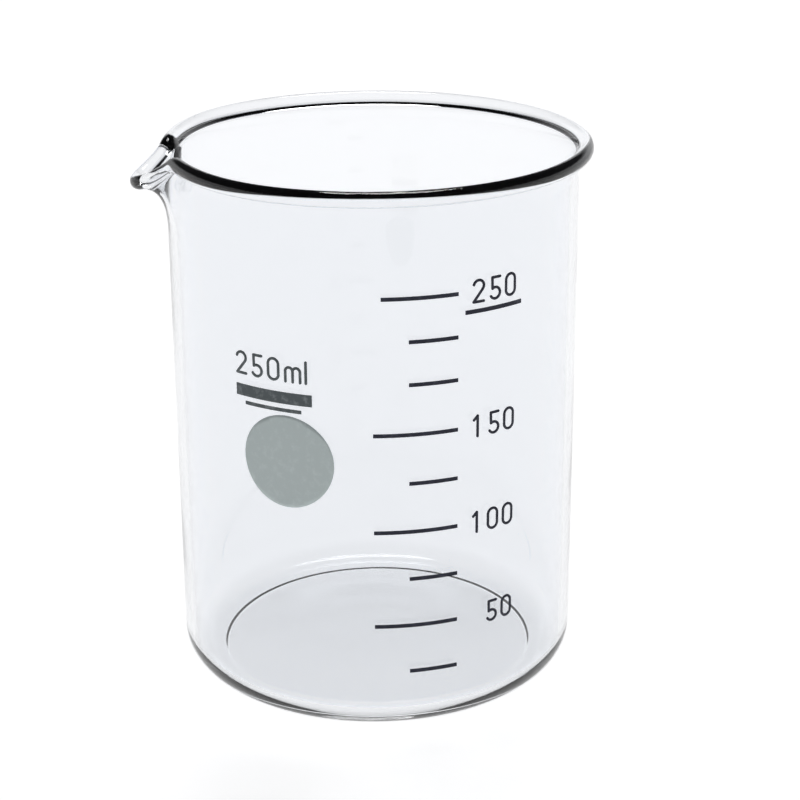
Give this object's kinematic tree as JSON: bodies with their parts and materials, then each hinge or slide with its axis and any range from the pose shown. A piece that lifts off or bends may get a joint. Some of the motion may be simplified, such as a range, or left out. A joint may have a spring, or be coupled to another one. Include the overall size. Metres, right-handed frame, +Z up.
{
  "type": "beaker",
  "caption": "Low-form glass laboratory beaker with a beaded rim, a pouring spout, a rounded heel, an enamel scale with numbers, a capacity mark and a writing spot.",
  "frame": {"origin": "centre of the foot's flat ring, on the vessel's axis", "axes": "+Z up the vessel's axis to the rim, the spout along -X, and the printed scale facing -Y"},
  "size_m": [0.0783, 0.0746, 0.095],
  "materials": {
    "glass": "clear",
    "dark_enamel": "satin",
    "grey_enamel": "satin",
    "spot_enamel": "matt"
  },
  "bodies": {
    "root": {"glass_vessel": "glass", "line_250": "dark_enamel", "line_225": "dark_enamel", "line_200": "dark_enamel", "line_150": "dark_enamel", "line_125": "dark_enamel", "line_100": "dark_enamel", "line_75": "dark_enamel", "line_50": "dark_enamel", "line_25": "dark_enamel", "number_250": "dark_enamel", "number_150": "dark_enamel", "number_100": "dark_enamel", "number_50": "dark_enamel", "scale_bar": "dark_enamel", "capacity_number": "grey_enamel", "capacity_unit": "grey_enamel", "name_bar": "grey_enamel", "detail_bar": "grey_enamel", "writing_spot": "spot_enamel"}
  },
  "joints": []
}
